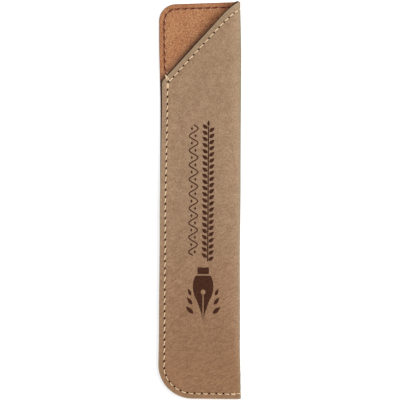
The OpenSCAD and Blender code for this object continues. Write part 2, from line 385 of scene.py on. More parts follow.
def laurel(x, top, bottom, pitch=2.45):
    """A stem with leaves on both sides and one at its tip."""
    stem_w, root_off, lean = 0.5, 0.35, math.radians(38)
    stem_top = top - 1
    stem = [Vector(p) for p in ((x - stem_w / 2, bottom), (x + stem_w / 2, bottom),
                                (x + stem_w / 2, stem_top), (x - stem_w / 2, stem_top))]
    leaves = []
    for i in range(int((top - bottom) / pitch)):
        y = bottom + 0.4 + i * pitch
        leaves.append(leaf(Vector((x + root_off, y)), lean, 2.75, 1.5))
        leaves.append(leaf(Vector((x - root_off, y + pitch / 2)), math.pi - lean, 2.75, 1.5))
    tip = leaf(Vector((x, top - 0.9)), math.pi / 2, 2.4, 1.0)
    return [stem, tip] + leaves


def wave(x, top, bottom, pitch=5.8, sweep=1.75, line_w=0.5, bead_off=0.75):
    """A waving line with a bead in each bend."""
    count = round((top - bottom) / pitch * 24)
    ys = [top + (bottom - top) * i / count for i in range(count + 1)]

    def line(off):
        points = []
        for y in ys:
            phase = 2 * math.pi * (top - y) / pitch
            slope = -sweep * 2 * math.pi / pitch * math.cos(phase)
            side = Vector((1, -slope)).normalized()
            points.append(Vector((x + sweep * math.sin(phase), y)) + side * off)
        return points

    beads = []
    for i in range(round(2 * (top - bottom) / pitch)):
        middle = Vector((x + (bead_off if i % 2 else -bead_off), top - (i + 0.5) * pitch / 2))
        beads.append(lozenge(middle, 1.5, 1.0))
    return [line(-line_w / 2) + list(reversed(line(line_w / 2)))] + beads


def nib(centre, long, wide):
    """A broad nib that points down: its outline, and its slit, breather hole and a band across its
    shank, which stay bare."""
    def at(across, up):
        return centre + Vector((across * wide, up * long))

    slit_w, point_w, eye_r = 0.22, 0.32, 1.0
    collar = 0.27
    tip = at(0, -0.5)
    right = [at(collar, 0.5), at(collar, 0.38)]
    right += bezier(right[-1], at(0.56, 0.28), at(0.54, 0), at(0.3, -0.14), 12)[1:]
    right += bezier(right[-1], at(0.16, -0.3), tip + Vector((0.5, 0.1 * long)),
                    tip + Vector((point_w, 0)), 10)[1:]
    left = [Vector((2 * centre.x - p.x, p.y)) for p in reversed(right)]
    eye = at(0, 0.02)
    slit = [Vector((x, y)) for x, y in ((centre.x - slit_w, tip.y - 0.5), (centre.x + slit_w, tip.y - 0.5),
                                        (centre.x + slit_w, eye.y), (centre.x - slit_w, eye.y))]
    band = [at(-1, 0.34), at(1, 0.34), at(1, 0.37), at(-1, 0.37)]
    return right + left, [slit, disc(eye, eye_r, 16), band]


def sprig(root, side):
    """Three leaves beside the nib, each smaller and steeper than the one under it."""
    return [leaf(root + Vector((side * 0.5 * i, 3.6 * i)), math.pi / 2 - side * math.radians(48 - 12 * i),
                 4.2 - 0.6 * i, 1.7 - 0.2 * i, 9) for i in range(3)]


def ornament():
    """Shapes that are burnt into the front panel, and shapes inside them that stay bare."""
    nib_centre, root_off = Vector((1.4, -37.2)), Vector((3.9, -8.2))
    nib_shape, bare = nib(nib_centre, 20.5, 8.6)
    shapes = laurel(3.2, 30.4, -24.6) + wave(-2.8, 30, -22.2) + [nib_shape]
    for side in (-1, 1):
        shapes += sprig(nib_centre + Vector((side * root_off.x, root_off.y)), side)
    return shapes, bare


# ---- sheets cut from a flat blank

HOLE_W, HOLE_L = 0.38, 0.58        # from the middle of a needle hole to its rim, across and along
EDGE_RINGS = (0.14, 0.36)          # rings of points just inside the cut edge, where it is rounded
SEAM_LANES = (-0.8, -0.5, -0.25, 0, 0.25, 0.5, 0.8)
EDGE_CLEAR, HOLE_CLEAR = 0.5, 1.3 * HOLE_W
CREASED_BELOW = -8
SHARP = math.radians(50)


def needle_holes(seams, single=()):
    """Every needle hole with the direction that its seam runs in: (place, direction) pairs."""
    return [pair for seam in seams for pair in headed(seam)] + [(p, Vector((0, 1))) for p in single]


def slot(hole, share, count):
    """A ring round a needle hole, longer along its seam than across it."""
    p, run = hole
    turn = 2 * math.pi / count
    return [p + run * HOLE_L * share * math.cos(i * turn) + left_of(run) * HOLE_W * share * math.sin(i * turn)
            for i in range(count)]


def hole_share(holes, tree, u, v):
    """0 in the middle of the nearest needle hole, 1 on its rim and more outside it."""
    found = tree.find((u, v, 0))
    if found[2] > HOLE_L:
        return 1.0
    p, run = holes[found[1]]
    off = Vector((u, v)) - p
    return math.hypot(off.dot(run) / HOLE_L, off.cross(run) / HOLE_W)


def tree_of(points):
    """Points kept so that the nearest is found fast."""
    tree = KDTree(len(points))
    for i, p in enumerate(points):
        tree.insert((p[0], p[1], 0), i)
    tree.balance()
    return tree


def distance(tree, u, v):
    """How far a place is from the nearest of a tree's points."""
    return tree.find((u, v, 0))[2]


def inside(outline, p):
    """Whether a point lies inside a closed shape."""
    hit = False
    for a, b in sides(outline):
        if (a.y > p.y) != (b.y > p.y) and p.x < a.x + (b.x - a.x) * (p.y - a.y) / (b.y - a.y):
            hit = not hit
    return hit


def anticlockwise(shape):
    turned = sum(a.cross(b) for a, b in sides(shape))
    return list(shape) if turned > 0 else list(reversed(shape))


def creased(u, v):
    """Whether a place lies on the part of the front panel that shows creases."""
    return u > FOLD_X and v < CREASED_BELOW


def triangulate(outline, seams, holes, fine, coarse, marks=(), bare=()):
    """Fills the blank with triangles that follow its edge, its seams, its needle holes and its marks,
    fine ones where it is creased. Returns the points, the triangles, and whether each is marked."""
    shapes = list(marks) + list(bare)
    stitched = [spaced(seam, SEAM_STEP) for seam in seams]
    edge_tree = tree_of([p for a, b in sides(outline) for p in (a, a.lerp(b, 0.5))])
    hole_tree = tree_of([p for p, _ in holes])
    line_tree = tree_of([p for line in stitched for p in line] + [p for p, _ in holes])
    mark_tree = tree_of([p for s in shapes for p in s] or [Vector((1e3, 1e3))])

    points = list(outline)
    for by in EDGE_RINGS:
        points += [p + left_of(run) * by for p, run in headed(outline, closed=True)]
    for line in stitched:
        for p, run in headed(line):
            for q in (p + left_of(run) * off for off in SEAM_LANES):
                if (hole_share(holes, hole_tree, q.x, q.y) > 0.99
                        and distance(edge_tree, q.x, q.y) > EDGE_CLEAR
                        and distance(hole_tree, q.x, q.y) > HOLE_CLEAR):
                    points.append(q)
    for hole in holes:
        points += [hole[0]] + slot(hole, 0.6, 8) + slot(hole, 1, 12)

    low = Vector((min(p.x for p in outline), min(p.y for p in outline)))
    high = Vector((max(p.x for p in outline), max(p.y for p in outline)))
    for spacing, in_creases in ((fine, True), (coarse, False)):
        row_h = spacing * math.sqrt(0.75)
        for j in range(int((high.y - low.y) / row_h) + 1):
            v = low.y + j * row_h
            for i in range(int((high.x - low.x) / spacing) + 1):
                u = low.x + (i + 0.5 * (j % 2)) * spacing
                clear = (creased(u, v) == in_creases
                         and distance(edge_tree, u, v) > EDGE_RINGS[-1] + spacing * 0.5
                         and distance(line_tree, u, v) > SEAM_LANES[-1] + spacing * 0.4
                         and distance(mark_tree, u, v) > spacing * 0.3)
                if clear and inside(outline, Vector((u, v))):
                    points.append(Vector((u, v)))

    faces = [list(range(len(outline)))]
    for shape in shapes:
        faces.append(list(range(len(points), len(points) + len(shape))))
        points += anticlockwise(shape)
    got = delaunay_2d_cdt(points, [], faces, 1, 1e-4)
    first_bare = 1 + len(marks)
    marked = [any(0 < f < first_bare for f in of) and not any(f >= first_bare for f in of) for of in got[5]]
    return got[0], got[2], marked


def sheet_mesh(name, flat, depths, relief, engraved_deep=0.0):
    """Bends a triangulated blank into a closed sheet between two depths. relief(u, v) gives what each
    face sinks by, as (outer, inner). Faces get material 0, marked ones 1, and the cut rim 2."""
    flat_points, triangles, marked = flat
    outer, inner = depths
    count = len(flat_points)
    owner = {}
    for k, (a, b, c) in enumerate(triangles):
        for edge in ((a, b), (b, c), (c, a)):
            owner[edge] = k
    outwards = {}
    for a, b in owner:
        if (b, a) not in owner:
            run = flat_points[b] - flat_points[a]
            for i in (a, b):
                outwards[i] = outwards.get(i, Vector((0, 0))) + Vector((run.y, -run.x))
    sinks = [relief(p.x, p.y) for p in flat_points]

    def sloped(i, depth):
        """A point of the blank where the slanting cut passes that depth."""
        p = flat_points[i]
        if i not in outwards:
            return p
        past_fold = smooth((p.x - FOLD_X) / FOLD_RUN)
        drawn_in = PANEL_T * (1 - past_fold)
        at_mouth = past_fold * smooth((p.y - MOUTH_LOW + 2) / 2)
        slope = CUT_SLOPE + (MOUTH_CUT_SLOPE - CUT_SLOPE) * at_mouth
        return p + outwards[i].normalized() * slope * (depth - drawn_in)

    verts = []
    for depth, side, sign in ((outer, 0, 1), (inner, 1, -1)):
        for i in range(count):
            p = sloped(i, depth)
            verts.append(place(p.x, p.y, depth + sign * sinks[i][side]))
    low = {}
    for face, burnt in zip(triangles, marked):
        for i in face if burnt else ():
            if i not in low:
                p = flat_points[i]
                low[i] = len(verts)
                verts.append(place(p.x, p.y, outer + sinks[i][0] + engraved_deep))
    faces, kinds = [], []
    for face, burnt in zip(triangles, marked):
        faces += [[low[i] for i in face] if burnt else list(face), [i + count for i in reversed(face)]]
        kinds += [1 if burnt else 0, 0]
    for (a, b), k in owner.items():
        other = owner.get((b, a))
        if other is None:
            faces.append([b, a, a + count, b + count])
            kinds.append(2)
        elif marked[k] and not marked[other]:
            faces.append([b, a, low[a], low[b]][::-1])
            kinds.append(1)
    mesh = bpy.data.meshes.new(name)
    mesh.from_pydata(verts, [], faces)
    mesh.polygons.foreach_set("material_index", kinds)
    mesh.shade_smooth()
    mesh.set_sharp_from_angle(angle=SHARP)
    return mesh, low


def piece(name, mesh):
    """A mesh as a named object in the scene."""
    made = bpy.data.objects.new(name, mesh)
    bpy.context.scene.collection.objects.link(made)
    return made


def flat_area(flat):
    """Area of a triangulated blank, in square millimetres."""
    points, triangles, _ = flat
    return sum(abs((points[b] - points[a]).cross(points[c] - points[a])) / 2 for a, b, c in triangles)


# ---- node helpers

def fill(tree, node, inputs):
    """Sets each input of a node to its value, or links it to its socket."""
    for key, value in inputs.items():
        if isinstance(value, bpy.types.NodeSocket):
            tree.links.new(value, node.inputs[key])
        else:
            node.inputs[key].default_value = value


def add(tree, kind, inputs=None, **settings):
    """A node with its settings and its inputs."""
    made = tree.nodes.new(kind)
    for name, value in settings.items():
        setattr(made, name, value)
    fill(tree, made, inputs or {})
    return made


def srgb(r, g, b):
    """A colour given as 0 to 255, as the shader wants it."""
    def linear(c):
        c /= 255
        return c / 12.92 if c < 0.04045 else ((c + 0.055) / 1.055) ** 2.4
    return (linear(r), linear(g), linear(b), 1)


def math_node(tree, operation, a, b=0.0, clamp=False):
    return add(tree, "ShaderNodeMath", {0: a, 1: b}, operation=operation, use_clamp=clamp).outputs[0]


def times(tree, a, b):
    return math_node(tree, "MULTIPLY", a, b)


def mix(tree, share, a, b):
    """Colour a where share is 0 and colour b where it is 1."""
    return add(tree, "ShaderNodeMix", {0: share, 6: a, 7: b}, data_type="RGBA").outputs[2]


def tinted(tree, colour, share, strength, tint):
    """A colour with a tint laid over it, at most as strong as strength, where share is 1."""
    return mix(tree, times(tree, share, strength), colour, tint)


def noise_at(tree, where, scale, detail=3.0, rough=0.55, distortion=0.0):
    return add(tree, "ShaderNodeTexNoise", {
        "Vector": where, "Scale": scale, "Detail": detail, "Roughness": rough, "Distortion": distortion
    }).outputs[0]


def ramp(tree, value, low, high):
    """0 below low, 1 above high, smooth between."""
    return add(tree, "ShaderNodeMapRange", {"Value": value, "From Min": low, "From Max": high},
               interpolation_type="SMOOTHSTEP").outputs[0]


def attribute(tree, name):
    return add(tree, "ShaderNodeAttribute", attribute_name=name).outputs["Fac"]


def new_material(name):
    """A material with its node tree, its shader and the object's own space to draw patterns in."""
    made = bpy.data.materials.new(name)
    made.use_nodes = True
    tree = made.node_tree
    return made, tree, tree.nodes["Principled BSDF"], add(tree, "ShaderNodeTexCoord").outputs["Object"]


def stretched(tree, where, long, turn=0.0):
    """Draws a pattern out along a direction, so many times longer than it is wide."""
    return add(tree, "ShaderNodeMapping", {
        "Vector": where, "Scale": (long, 1, 1), "Rotation": (0, 0, turn)
    }, vector_type="TEXTURE").outputs[0]


def dulled(tree, shader, name, gloss, sheen):
    """Gloss and sheen that fade where the attribute is 1."""
    left = math_node(tree, "SUBTRACT", 1.0, attribute(tree, name), clamp=True)
    fill(tree, shader, {"Specular IOR Level": times(tree, left, gloss),
                        "Sheen Weight": times(tree, left, sheen)})


def bump(tree, height, strength, deep, normal=None):
    """A fine relief, deep in millimetres, on top of the relief in normal."""
    inputs = {"Height": height, "Strength": strength, "Distance": deep * MM}
    if normal is not None:
        inputs["Normal"] = normal
    return add(tree, "ShaderNodeBump", inputs).outputs[0]


# ---- materials

def leatherette():
    """Matt tan leatherette with a brushed, mottled face; painted highlight and some wear make it paler at the
    fold and edges.
    """
    made, tree, shader, where = new_material("leatherette")
    mottle = noise_at(tree, where, 330, 4, 0.75)
    patch = noise_at(tree, stretched(tree, where, 1.8, 0.5), 70, 2, 0.5, 0.6)
    grain = noise_at(tree, where, 1500, 3, 0.65)
    fine = noise_at(tree, where, 3600, 2, 0.6)
    pores = add(tree, "ShaderNodeTexVoronoi", {"Vector": where, "Scale": 2400.0}).outputs["Distance"]
    across, up = add(tree, "ShaderNodeSeparateXYZ", {0: where}).outputs[:2]
    colour = mix(tree, ramp(tree, mottle, 0.3, 0.72), srgb(156, 123, 95), srgb(176, 144, 115))
    colour = tinted(tree, colour, ramp(tree, patch, 0.35, 0.7), 0.3, srgb(164, 137, 105))
    colour = tinted(tree, colour, ramp(tree, up, 0.01, -0.08), 0.8, srgb(156, 110, 74))
    colour = tinted(tree, colour, ramp(tree, grain, 0.4, 0.62), 0.46, srgb(118, 86, 60))
    folds = noise_at(tree, stretched(tree, where, 4.6, math.radians(32)), 760, 2, 0.5, 0.5)
    ridge = math_node(tree, "ABSOLUTE", math_node(tree, "SUBTRACT", folds, 0.5))
    crease = math_node(tree, "SUBTRACT", 1.0, ramp(tree, ridge, 0.0, 0.07))
    crease = times(tree, crease, ramp(tree, up, 0.02, -0.04))
    # painted shade: the crease lines low on the front are darkened in colour as well as bumped
    colour = tinted(tree, colour, crease, 0.38, srgb(112, 78, 52))
    colour = tinted(tree, colour, attribute(tree, "hem"), 0.4, srgb(150, 130, 103))
    # painted highlight, partly wear: paler over the fold and on the rounded cut edges
    colour = tinted(tree, colour, attribute(tree, "highlight_and_wear"), 0.75, srgb(172, 160, 128))
    # painted shade: the fold's outermost side, past 15.2 mm across, is darkened to olive
    colour = tinted(tree, colour, ramp(tree, across, 0.0152, 0.0166), 0.75, srgb(110, 106, 72))
    colour = tinted(tree, colour, attribute(tree, "pressed"), 0.3, srgb(104, 74, 50))
    # painted shade in the needle holes
    colour = mix(tree, attribute(tree, "painted_hole_shade"), colour, srgb(44, 22, 10))
    rough = math_node(tree, "ADD", times(tree, mottle, 0.2), 0.52)
    normal = bump(tree, math_node(tree, "SUBTRACT", folds, times(tree, crease, 0.3)), 0.6, 0.22)
    normal = bump(tree, grain, 0.8, 0.15, normal)
    normal = bump(tree, pores, 1.0, 0.13, normal)
    normal = bump(tree, fine, 0.8, 0.05, normal)
    dulled(tree, shader, "painted_hole_shade", 0.3, 0.1)
    fill(tree, shader, {"Base Color": colour, "Roughness": rough, "Sheen Roughness": 0.5, "Normal": normal})
    return made


def burnt_leatherette():
    """The dark floor of the burnt ornament."""
    made, tree, shader, where = new_material("burnt_leatherette")
    char = noise_at(tree, where, 1400, 3, 0.6)
    colour = mix(tree, ramp(tree, char, 0.3, 0.75), srgb(52, 25, 13), srgb(82, 45, 27))
    fill(tree, shader, {"Base Color": colour, "Roughness": 0.85, "Specular IOR Level": 0.2,
                        "Normal": bump(tree, char, 0.6, 0.06)})
    return made


def cut_edge():
    """The cut rim, burnt dark where the hot blade passed and darker still as painted shade for the gap under
    the mouth's lip.
    """
    made, tree, shader, where = new_material("cut_edge")
    fibre = noise_at(tree, where, 2200, 2, 0.6)
    # dark edge colour, darkened further as painted shade for the gap under the lip
    colour = mix(tree, fibre, srgb(34, 21, 11), srgb(80, 54, 34))
    fill(tree, shader, {"Base Color": colour, "Roughness": 0.95, "Specular IOR Level": 0.05,
                        "Normal": bump(tree, fibre, 0.6, 0.08)})
    return made


def suede():
    """Orange-tan lining with a short nap that lies in soft patches."""
    made, tree, shader, where = new_material("lining_suede")
    nap = noise_at(tree, stretched(tree, where, 2.2, 0.9), 2600, 3, 0.7)
    tuft = noise_at(tree, where, 2300, 4, 0.7)
    brushed = noise_at(tree, stretched(tree, where, 1.6, 0.9), 120, 3, 0.55, 0.5)
    colour = mix(tree, ramp(tree, brushed, 0.3, 0.7), srgb(176, 118, 81), srgb(194, 143, 102))
    colour = tinted(tree, colour, ramp(tree, tuft, 0.42, 0.6), 0.95, srgb(122, 72, 45))
    colour = tinted(tree, colour, ramp(tree, nap, 0.4, 0.7), 0.5, srgb(202, 148, 106))
    # darker towards the cut edges: partly burnished edge, partly painted shade
    colour = tinted(tree, colour, attribute(tree, "hem"), 0.3, srgb(148, 90, 62))
    # painted shadow in the gap between the panels, near black, and a thin dark cut edge on the flap
    colour = mix(tree, attribute(tree, "gap_shade_and_char"), colour, srgb(32, 17, 9))
    # painted shadow of the mouth's lip on the lining, widest towards its low end
    colour = mix(tree, attribute(tree, "painted_lip_shadow"), colour, srgb(100, 64, 52))
    colour = tinted(tree, colour, attribute(tree, "pressed"), 0.6, srgb(138, 78, 56))
    # painted shade in the lining's needle holes
    colour = mix(tree, attribute(tree, "painted_hole_shade"), colour, srgb(72, 30, 20))
    normal = bump(tree, nap, 0.8, 0.1, bump(tree, tuft, 0.6, 0.16))
    dulled(tree, shader, "gap_shade_and_char", 0.15, 0.2)
    fill(tree, shader, {"Base Color": colour, "Roughness": 0.9, "Sheen Roughness": 0.6,
                        "Sheen Tint": srgb(232, 190, 150), "Normal": normal})
    return made


def spun_thread(name, dark, light):
    """Waxed sewing thread with fine fibres."""
    made, tree, shader, where = new_material(name)
    fibre = noise_at(tree, where, 3200, 2, 0.6)
    fill(tree, shader, {"Base Color": mix(tree, ramp(tree, fibre, 0.3, 0.7), dark, light),
                        "Roughness": 0.6, "Specular IOR Level": 0.2, "Normal": bump(tree, fibre, 0.4, 0.03)})
    return made


LEATHERETTE = leatherette()
BURNT = burnt_leatherette()
CUT_EDGE = cut_edge()
SUEDE = suede()
CREAM_THREAD = spun_thread("cream_thread", srgb(214, 179, 138), srgb(250, 225, 190))
BROWN_THREAD = spun_thread("brown_thread", srgb(90, 40, 26), srgb(136, 72, 50))


# ---- the cover

def paint(mesh, low, layers):
    """Stores a value for each point of the blank on both faces of the sheet, and on its burnt floor."""
    for name, values in layers.items():
        made = mesh.attributes.new(name, "FLOAT", "POINT")
        made.data.foreach_set("value", values + values + [values[i] for i in low])


def near(d, reach):
    """1 on a line, falling softly to 0 at its reach."""
    return smooth(1 - d / reach)


def bevel(from_edge):
    """1 on the cut edge, falling to 0 where its rounding ends."""
    return (1 - clamp01(from_edge / EDGE_RINGS[-1])) ** 2


def seam_tree(seams):
    return tree_of([p for seam in seams for p in spaced(seam, 0.12)])


OUTLINE = blank_outline()
EDGE_TREE = tree_of([p for a, b in sides(OUTLINE) for p in (a, a.lerp(b, 0.33), a.lerp(b, 0.67))])
FRONT_SEAMS = [CLOSING_FRONT, MOUTH_SEAM, FOLD_SEAM_FRONT]
BACK_SEAMS = [CLOSING_BACK, FLAP_SEAM, FOLD_SEAM_BACK]
COVER_HOLES = needle_holes(FRONT_SEAMS + BACK_SEAMS, on_blank([TACK_HOLE]))
COVER_HOLES_TREE = tree_of([p for p, _ in COVER_HOLES])
FRONT_LINE_TREE = seam_tree(FRONT_SEAMS)
BACK_LINE_TREE = seam_tree(BACK_SEAMS)

# How deep the cover sinks, in millimetres, and how far from a seam it still does
FRONT_PRESS, FRONT_PRESS_W = 0.13, 0.75
BACK_PRESS, BACK_PRESS_W = 0.36, 0.8
HOLE_DEEP = 0.45
EDGE_ROUND = 0.12
WAVE_DEEP = 0.07
CREASE_DEEP = 0.09
BURNT_DEEP = 0.1
CREASE_SLANT = math.radians(34)


def crease(u, v):
    """Shallow slanting creases low on the front panel."""
    x = FOLD_END + FOLD_X - u
    along = x * math.cos(CREASE_SLANT) + v * math.sin(CREASE_SLANT)
    across = v * math.cos(CREASE_SLANT) - x * math.sin(CREASE_SLANT)
    ridge = 1 - min(1, 3 * abs(noise.noise(Vector((along / 6, across / 1.5, 5.2)))))
    swell = noise.noise(Vector((along / 7, across / 2.2, 1.7)))
    return CREASE_DEEP * smooth((-v - 12) / 30) * (ridge ** 2 + 0.5 * swell)


def cover_relief(u, v):
    """What the outer face sinks by: rounded cut edges, pressed seams, needle holes and a soft waviness."""
    from_edge = distance(EDGE_TREE, u, v)
    from_front = distance(FRONT_LINE_TREE, u, v)
    from_back = distance(BACK_LINE_TREE, u, v)
    from_hole = hole_share(COVER_HOLES, COVER_HOLES_TREE, u, v)
    sink = EDGE_ROUND * bevel(from_edge)
    sink += FRONT_PRESS * near(from_front, FRONT_PRESS_W) + BACK_PRESS * near(from_back, BACK_PRESS_W)
    sink += HOLE_DEEP * (1 - clamp01(from_hole)) * (0.5 if from_back < BACK_PRESS_W / 2 else 1)
    if u > FOLD_X:
        still = smooth((u - FOLD_X) / 3 - 0.5) * smooth(from_edge / 4)
        sink += WAVE_DEEP * still * noise.noise(Vector((u / 7, v / 12, 3.1))) + still * crease(u, v)
    return sink, 0.0


def make_cover():
    marks, bare = ornament()
    flat = triangulate(OUTLINE, FRONT_SEAMS + BACK_SEAMS, COVER_HOLES, 0.6, 0.95,
                       [on_blank(s) for s in marks], [on_blank(s) for s in bare])
    mesh, low = sheet_mesh("leatherette_cover", flat, (0, COVER_T), cover_relief, BURNT_DEEP)
    for material in (LEATHERETTE, BURNT, CUT_EDGE):
        mesh.materials.append(material)
    layers = {"hem": [], "highlight_and_wear": [], "pressed": [], "painted_hole_shade": []}
    for p in flat[0]:
        from_edge = distance(EDGE_TREE, p.x, p.y)
        from_seam = min(distance(FRONT_LINE_TREE, p.x, p.y), distance(BACK_LINE_TREE, p.x, p.y))
        over_mouth = p.x > FOLD_X + FOLD_RUN / 2 and p.y > CLOSING_TOP
        fold_turn = (p.x - FOLD_X) / FOLD_RUN
        at_fold = smooth((fold_turn - 0.35) / 0.3) * smooth((1.02 - fold_turn) / 0.35)
        from_hole = hole_share(COVER_HOLES, COVER_HOLES_TREE, p.x, p.y)
        layers["hem"].append(near(from_edge, 3.2) if over_mouth else 0.35 * near(from_edge, 3))
        # painted highlight, partly wear: a little over the fold, strongly within 0.4 mm of the cut edge
        layers["highlight_and_wear"].append(min(1, 0.14 * at_fold + 0.6 * (1 - clamp01(from_edge / 0.4))))
        layers["pressed"].append(near(from_seam, 0.7))
        # painted shade, darkest in the middle of each needle hole
        layers["painted_hole_shade"].append(smooth(2.4 * (1 - from_hole)))
    paint(mesh, low, layers)
    return piece("leatherette_cover", mesh), flat_area(flat)


# ---- the lining

LINING_SEAMS = [INSIDE_SEAM, MOUTH_SEAM]
LINING_HOLES = needle_holes(LINING_SEAMS)
LINING_HOLES_TREE = tree_of([p for p, _ in LINING_HOLES])
LINING_LINE_TREE = seam_tree(LINING_SEAMS)
LINING_PRESS_W = 0.8


def lining_relief(u, v):
    """What the lining's napped face sinks by."""
    from_edge = distance(EDGE_TREE, u, v)
    sink = 0.1 * bevel(from_edge)
    sink += 0.14 * near(distance(LINING_LINE_TREE, u, v), LINING_PRESS_W)
    sink += 0.2 * (1 - clamp01(hole_share(LINING_HOLES, LINING_HOLES_TREE, u, v)))
    return 0.0, sink + 0.03 * noise.noise(Vector((u / 3, v / 4, 8.7))) * smooth(from_edge / 2)


def make_lining():
    flat = triangulate(OUTLINE, LINING_SEAMS, LINING_HOLES, 1.4, 1.0)
    mesh, low = sheet_mesh("suede_lining", flat, (COVER_T, PANEL_T), lining_relief)
    for material in (SUEDE, SUEDE, CUT_EDGE):
        mesh.materials.append(material)
    layers = {"hem": [], "pressed": [], "painted_hole_shade": [], "gap_shade_and_char": [], "painted_lip_shadow": []}
    for p in flat[0]:
        from_edge = distance(EDGE_TREE, p.x, p.y)
        from_hole = hole_share(LINING_HOLES, LINING_HOLES_TREE, p.x, p.y)
        from_lip = max(0, (p.y - slant(p.x)) * math.cos(MOUTH_SLANT))
        on_flap = p.y > MOUTH_LOW + 1
        # darker towards the cut edges: partly burnished edge, partly painted shade
        layers["hem"].append(near(from_edge, 2.6))
        # off the flap, painted shadow 2.2 mm in from the cut edge; on the flap, a thin dark edge line
        layers["gap_shade_and_char"].append(0.5 * near(from_edge, 0.35) if on_flap else near(from_edge, 2.2))
        layers["pressed"].append(near(distance(LINING_LINE_TREE, p.x, p.y), LINING_PRESS_W))
        # painted shade, darkest in the middle of each needle hole
        layers["painted_hole_shade"].append(smooth(2 * (1 - from_hole)))
        # painted shadow under the mouth's lip, fading towards the fold
        layers["painted_lip_shadow"].append(
            0.8 * near(from_lip, 3.4) * (1 - 0.85 * smooth((p.x + 6) / 16)) if p.x < FOLD_X else 0)
    paint(mesh, low, layers)
    return piece("suede_lining", mesh), flat_area(flat)


# ---- thread

def new_tree(name, inputs):
    """An empty geometry tree with named inputs: (name, socket type, default)."""
    tree = bpy.data.node_groups.new(name, "GeometryNodeTree")
    tree.interface.new_socket("Geometry", in_out="INPUT", socket_type="NodeSocketGeometry")
    tree.interface.new_socket("Geometry", in_out="OUTPUT", socket_type="NodeSocketGeometry")
    for label, kind, default in inputs:
        socket = tree.interface.new_socket(label, in_out="INPUT", socket_type=kind)
        if default is not None:
            socket.default_value = default
    return tree, tree.nodes.new("NodeGroupInput").outputs


def stored(tree, name, kind="FLOAT_VECTOR"):
    """A named attribute that a geometry tree reads."""
    return add(tree, "GeometryNodeInputNamedAttribute", {"Name": name}, data_type=kind).outputs[0]


def scaled_by(tree, vector, share):
    return add(tree, "ShaderNodeVectorMath", {0: vector, "Scale": share}, operation="SCALE").outputs[0]


def strand_of(tree, line, width, scale=None, corners=6, lobe=0.2):
    """A thread along a curve. Its section's points stand in and out in turn, so a twist shows as plies."""
    radius = times(tree, width, 0.5)
    ring = add(tree, "GeometryNodeCurvePrimitiveCircle", {"Resolution": corners, "Radius": radius})
    odd = math_node(tree, "MODULO", add(tree, "GeometryNodeInputIndex").outputs[0], 2.0)
    share = math_node(tree, "SUBTRACT", 1.0, times(tree, odd, lobe))
    position = add(tree, "GeometryNodeInputPosition").outputs[0]
    section = add(tree, "GeometryNodeSetPosition",
                  {"Geometry": ring.outputs[0], "Position": scaled_by(tree, position, share)}).outputs[0]
    inputs = {"Curve": line, "Profile Curve": section, "Fill Caps": True}
    if scale is not None:
        inputs["Scale"] = scale
    return add(tree, "GeometryNodeCurveToMesh", inputs).outputs[0]


def twisted(tree, line, turns):
    """A curve whose section turns along it."""
    return add(tree, "GeometryNodeSetCurveTilt",
               {"Curve": line, "Tilt": times(tree, turns, 2 * math.pi)}).outputs[0]


def finished(tree, geometry, material):
    """The end of a geometry tree: real, smooth and with its material."""
    geometry = add(tree, "GeometryNodeRealizeInstances", {"Geometry": geometry}).outputs[0]
    geometry = add(tree, "GeometryNodeSetShadeSmooth", {"Geometry": geometry}).outputs[0]
    geometry = add(tree, "GeometryNodeSetMaterial", {"Geometry": geometry, "Material": material}).outputs[0]
    add(tree, "NodeGroupOutput", {"Geometry": geometry})
    return tree


